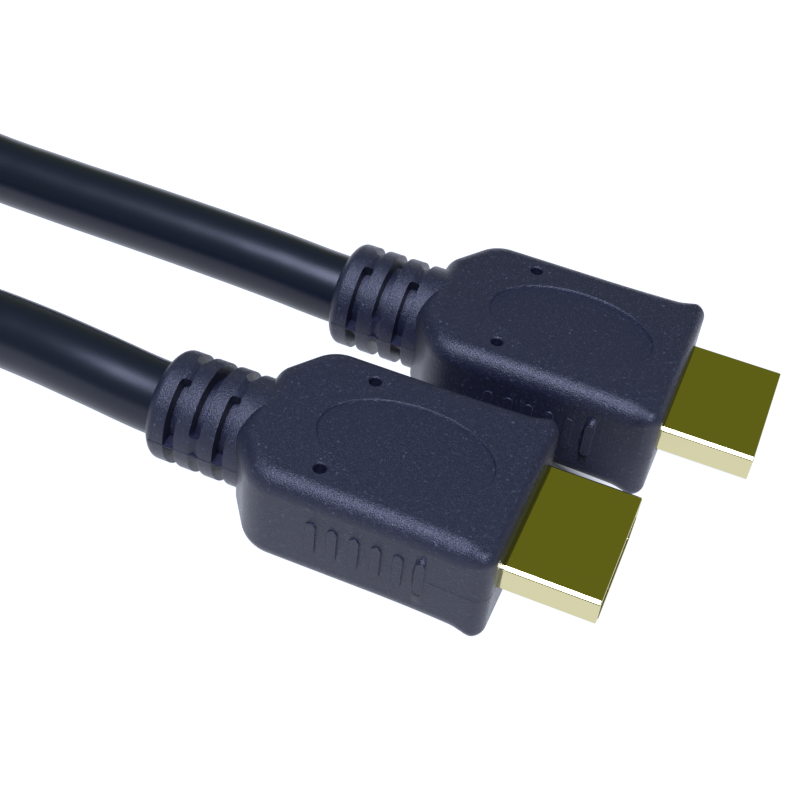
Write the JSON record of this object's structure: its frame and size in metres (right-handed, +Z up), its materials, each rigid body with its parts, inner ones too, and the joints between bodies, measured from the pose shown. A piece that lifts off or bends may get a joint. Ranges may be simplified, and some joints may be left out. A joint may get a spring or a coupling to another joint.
{
  "type": "hdmi cable",
  "caption": "Video cable with two moulded D-profile plugs lying side by side, ribbed strain reliefs and the spare cable in a tied coil.",
  "frame": {"origin": "on the floor, at the middle of the box around the two plugs", "axes": "+X is the way both plugs push into their sockets, +Z up, +Y from plug A to plug B"},
  "size_m": [0.2131, 0.0962, 0.017],
  "materials": {
    "moulding": "dark blue-grey moulded PVC with a fine spark-eroded grain",
    "cable_jacket": "smooth dark blue-grey PVC cable jacket with a soft gloss",
    "gold_shell": "polished gold-plated sheet metal",
    "gold_contact": "polished gold-plated contacts",
    "insulator": "black moulded insulator",
    "tie": "black hook-and-loop tie"
  },
  "bodies": {
    "root": {"plug_a_overmold": "moulding", "plug_a_shell": "gold_shell", "plug_a_insulator": "insulator", "plug_a_contact_01": "gold_contact", "plug_a_contact_02": "gold_contact", "plug_a_contact_03": "gold_contact", "plug_a_contact_04": "gold_contact", "plug_a_contact_05": "gold_contact", "plug_a_contact_06": "gold_contact", "plug_a_contact_07": "gold_contact", "plug_a_contact_08": "gold_contact", "plug_a_contact_09": "gold_contact", "plug_a_contact_10": "gold_contact", "plug_a_contact_11": "gold_contact", "plug_a_contact_12": "gold_contact", "plug_a_contact_13": "gold_contact", "plug_a_contact_14": "gold_contact", "plug_a_contact_15": "gold_contact", "plug_a_contact_16": "gold_contact", "plug_a_contact_17": "gold_contact", "plug_a_contact_18": "gold_contact", "plug_a_contact_19": "gold_contact", "plug_b_overmold": "moulding", "plug_b_shell": "gold_shell", "plug_b_insulator": "insulator", "plug_b_contact_01": "gold_contact", "plug_b_contact_02": "gold_contact", "plug_b_contact_03": "gold_contact", "plug_b_contact_04": "gold_contact", "plug_b_contact_05": "gold_contact", "plug_b_contact_06": "gold_contact", "plug_b_contact_07": "gold_contact", "plug_b_contact_08": "gold_contact", "plug_b_contact_09": "gold_contact", "plug_b_contact_10": "gold_contact", "plug_b_contact_11": "gold_contact", "plug_b_contact_12": "gold_contact", "plug_b_contact_13": "gold_contact", "plug_b_contact_14": "gold_contact", "plug_b_contact_15": "gold_contact", "plug_b_contact_16": "gold_contact", "plug_b_contact_17": "gold_contact", "plug_b_contact_18": "gold_contact", "plug_b_contact_19": "gold_contact", "cable_run_a": "cable_jacket", "cable_run_b": "cable_jacket", "cable_coil": "cable_jacket", "coil_tie": "tie"}
  },
  "joints": []
}
